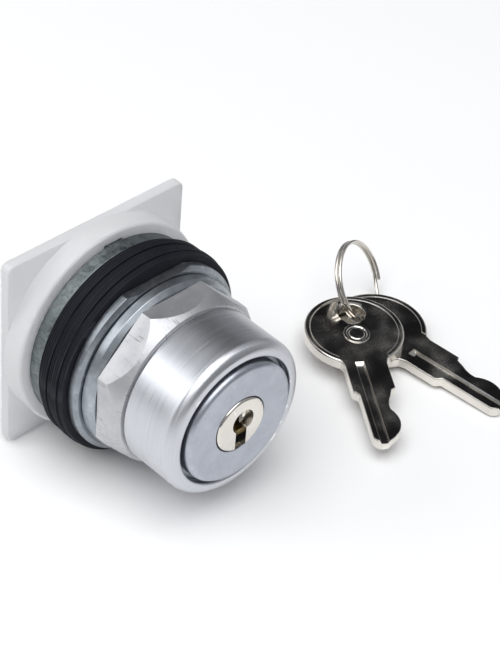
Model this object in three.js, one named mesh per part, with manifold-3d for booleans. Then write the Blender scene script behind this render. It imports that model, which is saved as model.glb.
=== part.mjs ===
// Key-operated selector switch for a 30.5 mm panel hole, with its two keys on a split ring.
// Millimetres. The operator's axis is Y and its front faces -Y; +Z is up, +X is to the right.
// The origin is on the axis, in the plane of the panel between locating ring and gaskets.
import * as THREE from 'three';
import { mergeVertices } from 'three/addons/utils/BufferGeometryUtils.js';
import Module from 'manifold-3d';

const wasm = await Module();
wasm.setup();

// ---------- driving dimensions ----------
const GAP = 0.3; // clearance of a piece that moves or sits in its neighbour
const SKIN = 0.08; // gap between stacked faces
const ROUND = 32; // sides of a large turned part
const SMALL_ROUND = 24; // sides of a small turned part
const FINE_ROUND = 40; // sides of the parts whose outline shows most

const BARREL_R = 15; // outside of the threaded barrel, for the 30.5 mm hole
const BARREL_FRONT = -31;
const BARREL_BORE_R = 11.1;
const CHAMBER_R = 12.6; // wide rear part of the barrel's bore
const CHAMBER_FRONT = -16;
const FLANGE_R = 19.2;
const FLANGE_FRONT = 4.3;
const FLANGE_REAR = 7.4;

const PLATE_SIDE = 44.5;
const PLATE_FRONT = 8.2;
const PLATE_REAR = 10.5;
const PLATE_CORNER_R = 1.2;
const COLLAR_R = 23.1;
const COLLAR_FRONT = 3.5;
const COLLAR_EDGE = 0.7;
const OPENING_R = 12.6; // round opening in the plate for the plunger guide
const HEAD_RECESS = 1.5; // how deep the screw heads are sunk in the plate

const LOCATING_RING_R = 21;
const LOCATING_RING_FRONT = 0.15;
const LOCATING_RING_REAR = 3.1;
const TAB_WIDTH = 4.2; // anti-turn tab at the top of the locating ring
const TAB_BOTTOM = 19.8;
const TAB_TOP = 20.8;
const TAB_REAR = 5.8;

const GASKET_COUNT = 5;
const GASKET_PITCH = 1.58;
const GASKET_R = [21.6, 22.4, 22.1, 22.6, 22.3]; // soft rings never cut quite alike

const WASHER_R = 20.8;
const WASHER_FLATS = 38.4; // across the thrust washer's two flats, at the top and the bottom
const WASHER_REAR = -8;
const WASHER_RIM_FRONT = -9.55; // the straight rim ends here and slopes inwards
const WASHER_FRONT = -10.1;
const WASHER_FRONT_R = 19.9;

const LOCK_RING_R = 19.3;
const LOCK_RING_REAR = -10.2;
const LOCK_RING_RIM_FRONT = -12.2;
const LOCK_RING_FRONT = -13.2;
const LOCK_RING_FRONT_R = 18.5;

const NUT_FLATS = 36.2; // across flats of the octagonal ring nut
const NUT_REAR = -13.3;
const NUT_FRONT = -19.6;
const NUT_FRONT_R = 17.6;
const NUT_CHAMFER_START = -15.9; // where the cone meets the nut's corners

const SHROUD_R = 17.1;
const SHROUD_REAR = -20;
const SHROUD_FRONT = -33.1;
const SHROUD_LIP_R = 14.15;
const SHROUD_ROUNDING = 2.7;

const LOCK_FACE = -34.15;
const LOCK_DISC_R = 13.35;
const LOCK_DISC_REAR = -31.15;
const LOCK_DISC_ROUNDING = 1;
const LOCK_BODY_R = 10.8;
const LOCK_BODY_REAR = -11;
const SHELL_NUT_FLATS = 22.8;

const PLUG_R = 6.05;
const PLUG_FACE = -34.5;
const PLUG_REAR = -9;
const PLUG_EDGE = 0.35;
const PLUG_CLEARANCE = 0.2;
const KEYWAY_WIDTH = 2.75;
const KEYWAY_TOP = 2.9;
const COUNTERBORE_R = 2.6; // sink round the keyway's top that guides the key's tip
const COUNTERBORE_DEPTH = 2.2;
const COUNTERBORE_X = 0.35;
const COUNTERBORE_Z = 0.75;
const CLIP_REAR = -9.7; // rear of the plug's groove for its clip
const CLIP_GROOVE = 0.9;
const CLIP_GROOVE_R = 5.1;
const CLIP_R = 7.6;
const CLIP_MOUTH = 4.6;

const WAFER_COUNT = 5;
const WAFER_FIRST = -31.4; // middle of the front wafer
const WAFER_PITCH = 3.1;
const WAFER_THICK = 1;
const WAFER_WIDTH = 5;
const WAFER_TOP = 5.65; // inside the plug's round, as a key holds it
const WAFER_BOTTOM = -5.4;
const WAFER_CORNER = 0.5;
const WAFER_CLEARANCE = 0.15;
const WINDOW_HALF = 1.4; // window that the key passes through
const WINDOW_TOP = 4.2;
const WINDOW_SILL = -4.6;
const LUG_RIGHT = 4.2; // lug at the wafer's side that its spring lifts
const LUG_BOTTOM = 0.2;
const LUG_TOP = 1;
const LUG_POCKET = [2.1, 4.5]; // pocket in the plug for lug and spring, from side to side
const LUG_POCKET_HEIGHT = [-4, 2.2];
const WAFER_SPRING_X = 3.35;
const WAFER_SPRING_FOOT = -3.45;
const WAFER_SPRING_LENGTH = 3.2;
const WAFER_DRAW = [0.9, 0.7, 0.8, 0.6, 0.75]; // how far each wafer springs out without the key
const BROACH_R = 7.1; // depth of the shell's slots that the wafers lock into

const CAM_FRONT = -7;
const CAM_TRACK = -4; // flat rear face that the detent ball runs on
const CAM_R = 11.9;
const CAM_RAMP_R = 8.2;
const CAM_HUB_R = 3.4;
const CAM_LOW = -3.5; // rear face of the ramp where it is lowest
const CAM_RISE = 2.4;
const CAM_QUARTER = 90; // the ramp climbs, stays high, falls and stays low for a quarter turn each

const DRIVE_SIDE = 4.2; // square drive of the tailpiece
const DRIVE_REAR = -0.4;
const DRIVE_PLAY = 0.15;
const TAILPIECE_R = 5.2;
const TAILPIECE_FRONT = -8.85;
const TAILPIECE_THICK = 1.2;
const TAIL_SCREW_R = 1.1;
const TAIL_SCREW_FRONT = -14.5;
const TAIL_SCREW_HEAD_R = 2.6;
const TAIL_SCREW_HEAD = [-0.25, 1.1];
const TAIL_SCREW_HOLE = [-15, -8]; // blind hole in the plug's rear

const PLUNGER_X = 6.2;
const PLUNGER_R = 1.5;
const PLUNGER_LENGTH = 11.1; // stays inside the plate; a contact block's own plungers reach in
const PLUNGER_COLLAR_R = 2.35;
const PLUNGER_COLLAR = [2.6, 3.6]; // behind the plunger's front end
const PLUNGER_GAP = 0.4; // from the ramp
const PLUNGER_SPRING_R = 2;
const PLUNGER_SPRING_WIRE = 0.22;
const PLUNGER_SPRING_LENGTH = 2.9;
const GUIDE_FLANGE_R = 14.6;
const GUIDE_FLANGE_FRONT = 5.9;
const GUIDE_R = 12.3;
const GUIDE_POCKET_REAR = 9.3; // end of the wide bores for collar and spring

const DETENT_Z = -10;
const DETENT_BALL_R = 1.3;
const DETENT_PLAY = 0.15;
const DETENT_TUBE_R = 2.1;
const DETENT_TUBE_FRONT = -2.4;
const DETENT_BORE_REAR = 7.4;
const DETENT_TRAVEL = 0.7; // how far the ball drops into a dimple
const DETENT_SPRING_R = 0.95;
const DETENT_SPRING_WIRE = 0.18;
const BALL_Y = CAM_TRACK + DETENT_BALL_R + 0.1; // on the track, drawn back from the dimple

const SCREW_CIRCLE_R = 16.9;
const SCREW_COUNT = 4;
const SCREW_R = 1.25;
const SCREW_HEAD_R = 2.3;
const SCREW_HEAD = 1.1;
const SCREW_HOLE_PLAY = 0.15;
const SCREW_SLOT = 0.6;

const TABLE = -23.1; // the surface that collar and keys lie on
const KEY_THICK = 2.5;
const KEY_BOW_R = 10.6;
const KEY_HOLE_R = 2.85;
const KEY_HOLE_U = -5; // hole centre, from the middle of the bow
const KEY_HOLE_V = 0.5;
const KEY_STOP_U = 17.8;
const KEY_TIP_U = 33.4;
const KEY_LEFT_V = -4.4;
const KEY_RIGHT_V = 4.75;
const KEY_GROOVE_START = 9.7;
const KEY_GROOVE_WIDTH = 1.75;
const KEY_GROOVE_DEPTH = 1;
const KEY_GROOVE_V = [-1.1, 1.2]; // on the upper and the lower face
const KEY_BADGE_R = 2.8;
const KEY_BADGE_RISE = 0.22;
const KEY_BADGE_U = 1.4;
const KEY_BADGE_V = 0.2;
const KEY_LAY = 0.05; // between the keys, and under the lower one
const KEY_1 = { name: 'key_1', x: 51.6, y: 34.6, level: 1, heading: -122.4 };
const KEY_2 = { name: 'key_2', x: 58.8, y: 34.2, level: 0, heading: -82.8 };
const KEY_TIP_Y = -50; // where the lower key's tip lies
const KEY_TILT = 2.4; // the bows lie on the ring, the tips on the table

const RING_R = 8.65; // middle of the split ring's wire
const RING_WIRE = 0.82;
const RING_TURNS = 1.86; // two turns, short of each other by the split
const RING_START = 326.5; // where round the ring the wire starts
const RING_STEP = 0.07; // share of a turn over which the wire crosses to the other side
const RING_PLACE = [62.36, -6.01, -15.01];
const RING_LEAN = -29.15;
const RING_SWING = 25.77;

// ---------- joining, cutting and placing ----------
function closed(geometry) {
  const bare = geometry.index ? geometry.clone() : mergeVertices(geometry.clone());
  bare.deleteAttribute('normal');
  bare.deleteAttribute('uv');
  return mergeVertices(bare, 1e-4);
}

function toManifold(geometry) {
  const merged = closed(geometry);
  return new wasm.Manifold(new wasm.Mesh({
    numProp: 3,
    vertProperties: new Float32Array(merged.attributes.position.array),
    triVerts: new Uint32Array(merged.index.array),
  }));
}

function toGeometry(solid) {
  const mesh = solid.getMesh();
  const geometry = new THREE.BufferGeometry();
  geometry.setAttribute('position', new THREE.BufferAttribute(mesh.vertProperties, 3));
  geometry.setIndex(new THREE.BufferAttribute(mesh.triVerts, 1));
  geometry.computeVertexNormals();
  return geometry;
}

function cut(geometry, ...tools) {
  return toGeometry(tools.reduce((left, tool) => left.subtract(toManifold(tool)), toManifold(geometry)));
}

function join(geometry, ...others) {
  return toGeometry(others.reduce((all, other) => all.add(toManifold(other)), toManifold(geometry)));
}

function common(geometry, other) {
  return toGeometry(toManifold(geometry).intersect(toManifold(other)));
}

// A body turned about Y from a closed outline of [radius, y] points, anticlockwise.
function revolve(outline, sides = ROUND) {
  const onAxis = outline[0][0] === 0;
  const points = outline.map(([radius, y]) => new THREE.Vector2(radius, y));
  if (!onAxis) {
    points.push(points[0].clone());
  }
  return new THREE.LatheGeometry(points, sides);
}

function hoop(inner, outer, front, rear, sides = ROUND) {
  return revolve([[inner, front], [outer, front], [outer, rear], [inner, rear]], sides);
}

function disc(radius, front, rear, sides = SMALL_ROUND) {
  return revolve([[0, front], [radius, front], [radius, rear], [0, rear]], sides);
}

// A block given by where it starts and ends along X, Y and Z.
function block([left, right], [front, rear], [bottom, top]) {
  return new THREE.BoxGeometry(right - left, rear - front, top - bottom)
    .translate((left + right) / 2, (front + rear) / 2, (bottom + top) / 2);
}

// A flat ring with its outer edges broken.
function flatRing(outer, front, rear, edge) {
  return revolve([
    [BARREL_R + GAP, front],
    [outer - edge, front],
    [outer, front + edge],
    [outer, rear - edge],
    [outer - edge, rear],
    [BARREL_R + GAP, rear],
  ]);
}

// A flat ring whose front edge slopes back to its rim.
function slopedRing(frontR, rimR, front, rimFront, rear) {
  return revolve([
    [BARREL_R + GAP, front],
    [frontR, front],
    [rimR, rimFront],
    [rimR, rear],
    [BARREL_R + GAP, rear],
  ], FINE_ROUND);
}

// An eight-sided bar about Y with flats at the top, bottom and sides.
function octagon(frontFlats, rearFlats, front, rear) {
  const toCorner = 1 / (2 * Math.cos(Math.PI / 8));
  const bar = new THREE.CylinderGeometry(rearFlats * toCorner, frontFlats * toCorner, rear - front, 8);
  return bar.rotateY(Math.PI / 8).translate(0, (front + rear) / 2, 0);
}

// Points of an arc in an outline, from one angle to another in degrees.
function arc(centreR, centreY, radius, from, to, steps) {
  return Array.from({ length: steps + 1 }, (_, i) => {
    const angle = THREE.MathUtils.degToRad(from + (to - from) * i / steps);
    return [centreR + radius * Math.cos(angle), centreY + radius * Math.sin(angle)];
  });
}

// A round wire of the given radius along a curve, closed at both ends.
function wire(curve, radius, steps, sides) {
  const section = new THREE.Shape();
  section.absarc(0, 0, radius, 0, 2 * Math.PI);
  return new THREE.ExtrudeGeometry(section, { extrudePath: curve, steps, curveSegments: sides / 2 });
}

class Helix extends THREE.Curve {
  constructor(radius, length, turns) {
    super();
    this.radius = radius;
    this.length = length;
    this.turns = turns;
  }

  getPoint(t, target = new THREE.Vector3()) {
    const angle = 2 * Math.PI * this.turns * t;
    return target.set(this.radius * Math.cos(angle), this.length * t, this.radius * Math.sin(angle));
  }
}

function coilSpring(radius, wireR, length, turns, stepsPerTurn, sides) {
  return wire(new Helix(radius, length, turns), wireR, turns * stepsPerTurn, sides);
}

const look = {
  frosted: { color: 0xd8dade, roughness: 0.5, metalness: 0 },
  galvanised: { color: 0x727d80, roughness: 0.5, metalness: 1 },
  rubber: { color: 0x1a1c22, roughness: 0.75, metalness: 0 },
  greyZinc: { color: 0x7d8287, roughness: 0.4, metalness: 1 },
  castAluminium: { color: 0xb4b6ba, roughness: 0.42, metalness: 1 },
  brushed: { color: 0xc8cacd, roughness: 0.3, metalness: 1 },
  satinGrey: { color: 0xa0a5af, roughness: 0.5, metalness: 0.6 },
  nickel: { color: 0xd7d2c8, roughness: 0.15, metalness: 1 },
  brass: { color: 0xc9a55a, roughness: 0.35, metalness: 1 },
  steel: { color: 0xb9bcc0, roughness: 0.3, metalness: 1 },
  blackNylon: { color: 0x22242a, roughness: 0.6, metalness: 0 },
  whiteNylon: { color: 0xe6e4dc, roughness: 0.55, metalness: 0 },
};

const model = new THREE.Group();

function place(name, geometry, finish, parent = model) {
  const mesh = new THREE.Mesh(geometry, new THREE.MeshStandardMaterial(look[finish]));
  mesh.name = name;
  parent.add(mesh);
  return mesh;
}

function onCircle(radius, degrees) {
  const angle = THREE.MathUtils.degToRad(degrees);
  return [radius * Math.cos(angle), radius * Math.sin(angle)];
}

// ---------- base plate, barrel and what clamps the panel ----------
const screwSpots = Array.from({ length: SCREW_COUNT }, (_, i) => onCircle(SCREW_CIRCLE_R, 45 + 90 * i));

function roundedSquare(side, corner) {
  const half = side / 2;
  const shape = new THREE.Shape();
  shape.moveTo(half, half - corner);
  shape.absarc(half - corner, half - corner, corner, 0, Math.PI / 2);
  shape.absarc(corner - half, half - corner, corner, Math.PI / 2, Math.PI);
  shape.absarc(corner - half, corner - half, corner, Math.PI, 1.5 * Math.PI);
  shape.absarc(half - corner, corner - half, corner, 1.5 * Math.PI, 2 * Math.PI);
  return shape;
}

// Frosted plate with a round collar that cups the barrel's flange; contact blocks go on its back.
function basePlate() {
  const outline = roundedSquare(PLATE_SIDE, PLATE_CORNER_R);
  const plate = new THREE.ExtrudeGeometry(outline, {
    depth: PLATE_REAR - PLATE_FRONT, bevelEnabled: false, curveSegments: 4,
  }).rotateX(Math.PI / 2).translate(0, PLATE_REAR, 0);
  const collar = revolve([
    [0, COLLAR_FRONT],
    [COLLAR_R - COLLAR_EDGE, COLLAR_FRONT],
    [COLLAR_R, COLLAR_FRONT + COLLAR_EDGE],
    [COLLAR_R, PLATE_FRONT + 0.1],
    [0, PLATE_FRONT + 0.1],
  ], FINE_ROUND);
  const flangeSeat = disc(FLANGE_R + GAP, COLLAR_FRONT - 1, FLANGE_REAR + GAP, ROUND);
  const opening = disc(OPENING_R, FLANGE_REAR, PLATE_REAR + 1, ROUND);
  const tabSlot = block(
    [-TAB_WIDTH / 2 - GAP, TAB_WIDTH / 2 + GAP],
    [COLLAR_FRONT - 1, TAB_REAR + 1],
    [TAB_BOTTOM - 1, TAB_TOP + 0.6],
  );
  const holes = screwSpots.flatMap(([x, z]) => [
    disc(SCREW_R + SCREW_HOLE_PLAY, FLANGE_REAR, PLATE_REAR + 1, 16).translate(x, 0, z),
    disc(SCREW_HEAD_R + GAP, PLATE_REAR - HEAD_RECESS, PLATE_REAR + 1, 16).translate(x, 0, z),
  ]);
  return cut(join(plate, collar), flangeSeat, opening, tabSlot, ...holes);
}

// Die-cast barrel: outside thread for shroud and nut, flange at the back, bore for lock and cam.
function barrel() {
  const guideSeat = GUIDE_FLANGE_FRONT - 0.1;
  const body = revolve([
    [BARREL_BORE_R, BARREL_FRONT],
    [BARREL_R, BARREL_FRONT],
    [BARREL_R, FLANGE_FRONT],
    [FLANGE_R, FLANGE_FRONT],
    [FLANGE_R, FLANGE_REAR],
    [GUIDE_FLANGE_R + GAP, FLANGE_REAR],
    [GUIDE_FLANGE_R + GAP, guideSeat],
    [CHAMBER_R, guideSeat],
    [CHAMBER_R, CHAMBER_FRONT],
    [BARREL_BORE_R, CHAMBER_FRONT],
  ]);
  const holes = screwSpots.map(([x, z]) => (
    disc(SCREW_R + SCREW_HOLE_PLAY, FLANGE_FRONT - 1, FLANGE_REAR + 1, 16).translate(x, 0, z)
  ));
  return cut(body, ...holes);
}

// Galvanised ring behind the panel, with a tab at the top that stops it turning in the collar.
function locatingRing() {
  const ring = flatRing(LOCATING_RING_R, LOCATING_RING_FRONT, LOCATING_RING_REAR, 0.3);
  const tab = block(
    [-TAB_WIDTH / 2, TAB_WIDTH / 2],
    [LOCATING_RING_REAR - 0.3, TAB_REAR],
    [TAB_BOTTOM, TAB_TOP],
  );
  return join(ring, tab);
}

function gasket(index) {
  const front = -(index + 1) * GASKET_PITCH;
  return flatRing(GASKET_R[index], front, front + GASKET_PITCH - SKIN, 0.35);
}

// Round washer with a sloped front edge and a flat at the top and the bottom.
function thrustWasher() {
  const ring = slopedRing(WASHER_FRONT_R, WASHER_R, WASHER_FRONT, WASHER_RIM_FRONT, WASHER_REAR);
  const half = WASHER_FLATS / 2;
  const slab = block([-WASHER_R, WASHER_R], [WASHER_FRONT - 1, WASHER_REAR + 1], [-half, half]);
  return common(ring, slab);
}

// Octagonal ring nut whose corners run out in a cone towards the front.
function ringNut() {
  const cornerR = NUT_FLATS / (2 * Math.cos(Math.PI / 8));
  const bar = octagon(NUT_FLATS, NUT_FLATS, NUT_FRONT, NUT_REAR);
  const cone = revolve([
    [BARREL_R + GAP, NUT_FRONT - 0.5],
    [NUT_FRONT_R, NUT_FRONT - 0.5],
    [NUT_FRONT_R, NUT_FRONT],
    [cornerR + 0.1, NUT_CHAMFER_START],
    [cornerR + 0.1, NUT_REAR + 0.5],
    [BARREL_R + GAP, NUT_REAR + 0.5],
  ], FINE_ROUND);
  return common(bar, cone);
}

// Brushed sleeve screwed on the front of the barrel, with a rounded lip round the lock.
function shroud() {
  const rounding = arc(
    SHROUD_R - SHROUD_ROUNDING, SHROUD_FRONT + SHROUD_ROUNDING, SHROUD_ROUNDING, -90, 0, 4,
  );
  return revolve([
    [SHROUD_LIP_R, SHROUD_FRONT],
    ...rounding,
    [SHROUD_R, SHROUD_REAR - 0.4],
    [SHROUD_R - 0.4, SHROUD_REAR],
    [BARREL_R + GAP, SHROUD_REAR],
    [BARREL_R + GAP, BARREL_FRONT - GAP],
    [SHROUD_LIP_R, BARREL_FRONT - GAP],
  ], FINE_ROUND);
}

place('base_plate', basePlate(), 'frosted');
place('threaded_barrel', barrel(), 'greyZinc');
place('locating_ring', locatingRing(), 'galvanised');
for (let i = 0; i < GASKET_COUNT; i += 1) {
  place(`gasket_${i + 1}`, gasket(i), 'rubber');
}
place('thrust_washer', thrustWasher(), 'greyZinc');
const lockRing = slopedRing(
  LOCK_RING_FRONT_R, LOCK_RING_R, LOCK_RING_FRONT, LOCK_RING_RIM_FRONT, LOCK_RING_REAR,
);
place('lock_ring', lockRing, 'greyZinc');
place('ring_nut', ringNut(), 'castAluminium');
place('shroud', shroud(), 'brushed');

// Cross-slotted screw that holds the plate to the barrel's flange.
function baseScrew(x, z) {
  const headRear = PLATE_REAR - 0.1;
  const headFront = headRear - SCREW_HEAD;
  const head = disc(SCREW_HEAD_R, headFront, headRear, 16);
  const shank = disc(SCREW_R, FLANGE_FRONT + GAP, headFront + 0.1, 16);
  const slot = block([-1.5, 1.5], [headRear - SCREW_SLOT, headRear + 1], [-0.3, 0.3]);
  return cut(join(head, shank), slot, slot.clone().rotateY(Math.PI / 2)).translate(x, 0, z);
}

screwSpots.forEach(([x, z], i) => place(`base_screw_${i + 1}`, baseScrew(x, z), 'steel'));

// ---------- lock cylinder ----------
const waferSpots = Array.from({ length: WAFER_COUNT }, (_, i) => WAFER_FIRST + WAFER_PITCH * i);

// Grey faced lock shell, broached where the wafers spring out: at rest and after a quarter turn.
function lockShell() {
  const rounding = arc(
    LOCK_DISC_R - LOCK_DISC_ROUNDING, LOCK_FACE + LOCK_DISC_ROUNDING, LOCK_DISC_ROUNDING, -90, 0, 4,
  );
  const boreR = PLUG_R + PLUG_CLEARANCE;
  const body = revolve([
    [boreR, LOCK_FACE],
    ...rounding,
    [LOCK_DISC_R, LOCK_DISC_REAR],
    [LOCK_BODY_R, LOCK_DISC_REAR],
    [LOCK_BODY_R, LOCK_BODY_REAR],
    [boreR, LOCK_BODY_REAR],
  ]);
  const half = WAFER_WIDTH / 2 + GAP;
  const slotFront = WAFER_FIRST - WAFER_PITCH / 2;
  const slot = block([-half, half], [slotFront, LOCK_BODY_REAR + 1], [-BROACH_R, BROACH_R]);
  return cut(body, slot, slot.clone().rotateY(Math.PI / 2));
}

// Turning plug with the keyway, wafer slots and side pockets for the wafer springs.
function lockPlug() {
  const bar = revolve([
    [0, PLUG_FACE],
    [PLUG_R - PLUG_EDGE, PLUG_FACE],
    [PLUG_R, PLUG_FACE + PLUG_EDGE],
    [PLUG_R, CLIP_REAR - CLIP_GROOVE],
    [CLIP_GROOVE_R, CLIP_REAR - CLIP_GROOVE],
    [CLIP_GROOVE_R, CLIP_REAR],
    [PLUG_R, CLIP_REAR],
    [PLUG_R, PLUG_REAR],
    [0, PLUG_REAR],
  ], ROUND);
  const keywayRear = WAFER_FIRST + WAFER_PITCH * WAFER_COUNT;
  const keyway = block(
    [-KEYWAY_WIDTH / 2, KEYWAY_WIDTH / 2],
    [PLUG_FACE - 1, keywayRear],
    [-PLUG_R - 1, KEYWAY_TOP],
  );
  const counterbore = disc(COUNTERBORE_R, PLUG_FACE - 1, PLUG_FACE + COUNTERBORE_DEPTH, 20)
    .translate(COUNTERBORE_X, 0, COUNTERBORE_Z);
  const screwHole = disc(TAIL_SCREW_R + SCREW_HOLE_PLAY, ...TAIL_SCREW_HOLE, 16);
  const halfWidth = WAFER_WIDTH / 2 + WAFER_CLEARANCE;
  const halfThick = WAFER_THICK / 2 + WAFER_CLEARANCE;
  const slots = waferSpots.flatMap((y) => [
    block([-halfWidth, halfWidth], [y - halfThick, y + halfThick], [-PLUG_R - 1, PLUG_R + 1]),
    block(LUG_POCKET, [y - halfThick - 0.1, y + halfThick + 0.1], LUG_POCKET_HEIGHT),
  ]);
  return cut(bar, keyway, counterbore, screwHole, ...slots);
}

// Flat wafer with a window for the key and a lug at one side that its spring lifts.
function wafer(index) {
  const half = WAFER_WIDTH / 2;
  const shape = new THREE.Shape();
  shape.moveTo(-half, WAFER_BOTTOM);
  shape.lineTo(half, WAFER_BOTTOM);
  shape.lineTo(half, LUG_BOTTOM);
  shape.lineTo(LUG_RIGHT, LUG_BOTTOM);
  shape.lineTo(LUG_RIGHT, LUG_TOP);
  shape.lineTo(half, LUG_TOP);
  shape.lineTo(half, WAFER_TOP - WAFER_CORNER);
  shape.lineTo(half - WAFER_CORNER, WAFER_TOP);
  shape.lineTo(WAFER_CORNER - half, WAFER_TOP);
  shape.lineTo(-half, WAFER_TOP - WAFER_CORNER);
  const sill = WINDOW_SILL + WAFER_DRAW[index] / 2;
  const window = new THREE.Path();
  window.moveTo(-WINDOW_HALF, sill);
  window.lineTo(-WINDOW_HALF, WINDOW_TOP);
  window.lineTo(WINDOW_HALF, WINDOW_TOP);
  window.lineTo(WINDOW_HALF, sill);
  shape.holes.push(window);
  return new THREE.ExtrudeGeometry(shape, { depth: WAFER_THICK, bevelEnabled: false })
    .rotateX(Math.PI / 2)
    .translate(0, WAFER_THICK / 2, 0);
}

place('lock_shell', lockShell(), 'satinGrey');
place('lock_plug', lockPlug(), 'nickel');
waferSpots.forEach((y, i) => {
  place(`wafer_${i + 1}`, wafer(i), 'brass').position.set(0, y, 0);
  const coil = coilSpring(0.42, 0.13, WAFER_SPRING_LENGTH, 3, 6, 6);
  const spring = place(`wafer_spring_${i + 1}`, coil, 'steel');
  spring.position.set(WAFER_SPRING_X, y, WAFER_SPRING_FOOT);
  spring.rotation.x = Math.PI / 2;
});

// Nut that draws the shell back against the barrel's front.
const shellNut = cut(
  octagon(SHELL_NUT_FLATS, SHELL_NUT_FLATS, CHAMBER_FRONT + 0.1, LOCK_BODY_REAR - 1.4),
  disc(LOCK_BODY_R + 0.1, CHAMBER_FRONT - 1, LOCK_BODY_REAR + 1, ROUND),
);
place('lock_shell_nut', shellNut, 'brass');

// Open ring snapped into the plug's groove behind the shell.
const clip = hoop(CLIP_GROOVE_R + 0.2, CLIP_R, CLIP_REAR - CLIP_GROOVE + 0.1, CLIP_REAR - 0.1, SMALL_ROUND);
const clipMouth = block([-CLIP_MOUTH / 2, CLIP_MOUTH / 2], [CLIP_REAR - 2, CLIP_REAR + 1], [-9, -3]);
place('plug_clip', cut(clip, clipMouth), 'steel');

// ---------- cam, tailpiece, plungers and detent ----------
// Square drive behind the plug, held on it by a screw down its middle.
const driveWidth = [-DRIVE_SIDE / 2, DRIVE_SIDE / 2];
const tailpiece = cut(
  join(
    disc(TAILPIECE_R, TAILPIECE_FRONT, TAILPIECE_FRONT + TAILPIECE_THICK),
    block(driveWidth, [TAILPIECE_FRONT + TAILPIECE_THICK - 0.1, DRIVE_REAR], driveWidth),
  ),
  disc(TAIL_SCREW_R + GAP, PLUG_REAR - 1, DRIVE_REAR + 1, 16),
);
place('tailpiece', tailpiece, 'steel');

const [tailHeadFront, tailHeadRear] = TAIL_SCREW_HEAD;
const tailScrew = cut(
  join(
    disc(TAIL_SCREW_R, TAIL_SCREW_FRONT, tailHeadFront + 0.05, 16),
    disc(TAIL_SCREW_HEAD_R, tailHeadFront, tailHeadRear, 16),
  ),
  block([-3, 3], [tailHeadRear - 0.5, tailHeadRear + 0.5], [-SCREW_SLOT / 2, SCREW_SLOT / 2]),
);
place('tailpiece_screw', tailScrew, 'steel');

// Height of the ramp at an angle round the cam, counted from +X towards +Z, in degrees.
function rampHeight(degrees) {
  const quarters = THREE.MathUtils.euclideanModulo(degrees, 360) / CAM_QUARTER;
  const climb = Math.min(quarters, 1);
  const fall = THREE.MathUtils.clamp(3 - quarters, 0, 1);
  return CAM_RISE * Math.min(climb, fall);
}

// Ring whose rear face climbs and falls, made by lifting the rear points of a turned ring.
function rampRing() {
  const ring = hoop(CAM_HUB_R, CAM_RAMP_R, CAM_TRACK - 0.5, CAM_LOW, 48);
  const position = ring.attributes.position;
  for (let i = 0; i < position.count; i += 1) {
    if (position.getY(i) > CAM_LOW - 0.01) {
      const degrees = THREE.MathUtils.radToDeg(Math.atan2(position.getZ(i), position.getX(i)));
      position.setY(i, CAM_LOW + rampHeight(Math.round(degrees)));
    }
  }
  return ring;
}

// The cam turns with the plug; its ramp drives one plunger back while the other comes forward.
function operatingCam() {
  const web = disc(CAM_R, CAM_FRONT, CAM_TRACK, 36);
  const half = DRIVE_SIDE / 2 + DRIVE_PLAY;
  const bore = block([-half, half], [CAM_FRONT - 1, CAM_LOW + CAM_RISE + 1], [-half, half]);
  const dimple = new THREE.SphereGeometry(DETENT_BALL_R + DETENT_PLAY, 12, 8)
    .translate(0, CAM_TRACK - DETENT_TRAVEL + DETENT_BALL_R, DETENT_Z);
  return cut(join(web, rampRing()), bore, dimple, dimple.clone().rotateY(-Math.PI / 2));
}

place('operating_cam', operatingCam(), 'blackNylon');

// Rod with a domed front end on the ramp and a collar that its spring pushes forward.
function plunger() {
  const [collarFront, collarRear] = PLUNGER_COLLAR;
  const dome = arc(0, PLUNGER_R, PLUNGER_R, -90, 0, 4);
  dome[0][0] = 0;
  return revolve([
    ...dome,
    [PLUNGER_R, collarFront],
    [PLUNGER_COLLAR_R, collarFront],
    [PLUNGER_COLLAR_R, collarRear],
    [PLUNGER_R, collarRear],
    [PLUNGER_R, PLUNGER_LENGTH],
    [0, PLUNGER_LENGTH],
  ], 16);
}

const plungerSides = [
  { name: 'right', x: PLUNGER_X, lift: 0 },
  { name: 'left', x: -PLUNGER_X, lift: CAM_RISE },
];
for (const { name, x, lift } of plungerSides) {
  const front = CAM_LOW + PLUNGER_GAP + lift;
  const springFront = front + PLUNGER_COLLAR[1] + PLUNGER_SPRING_WIRE + 0.13;
  const spring = coilSpring(PLUNGER_SPRING_R, PLUNGER_SPRING_WIRE, PLUNGER_SPRING_LENGTH, 3, 10, 6);
  place(`plunger_${name}`, plunger(), 'whiteNylon').position.set(x, front, 0);
  place(`plunger_spring_${name}`, spring, 'steel').position.set(x, springFront, 0);
}

// Guide plate between barrel and base: bores for the plungers and a tube for the detent.
function plungerGuide() {
  const body = revolve([
    [0, GUIDE_FLANGE_FRONT],
    [GUIDE_FLANGE_R, GUIDE_FLANGE_FRONT],
    [GUIDE_FLANGE_R, FLANGE_REAR + 0.1],
    [GUIDE_R, FLANGE_REAR + 0.1],
    [GUIDE_R, PLATE_REAR],
    [0, PLATE_REAR],
  ]);
  const detentTube = disc(DETENT_TUBE_R, DETENT_TUBE_FRONT, GUIDE_FLANGE_FRONT + 0.5, 20);
  const detentBore = disc(DETENT_BALL_R + DETENT_PLAY, DETENT_TUBE_FRONT - 1, DETENT_BORE_REAR, 20);
  const bores = plungerSides.flatMap(({ x }) => [
    disc(PLUNGER_R + 0.2, 0, PLATE_REAR + 1, 20).translate(x, 0, 0),
    disc(PLUNGER_COLLAR_R + GAP, 0, GUIDE_POCKET_REAR, 20).translate(x, 0, 0),
  ]);
  const guide = join(body, detentTube.translate(0, 0, DETENT_Z));
  return cut(guide, detentBore.translate(0, 0, DETENT_Z), ...bores);
}

place('plunger_guide', plungerGuide(), 'blackNylon');

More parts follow.
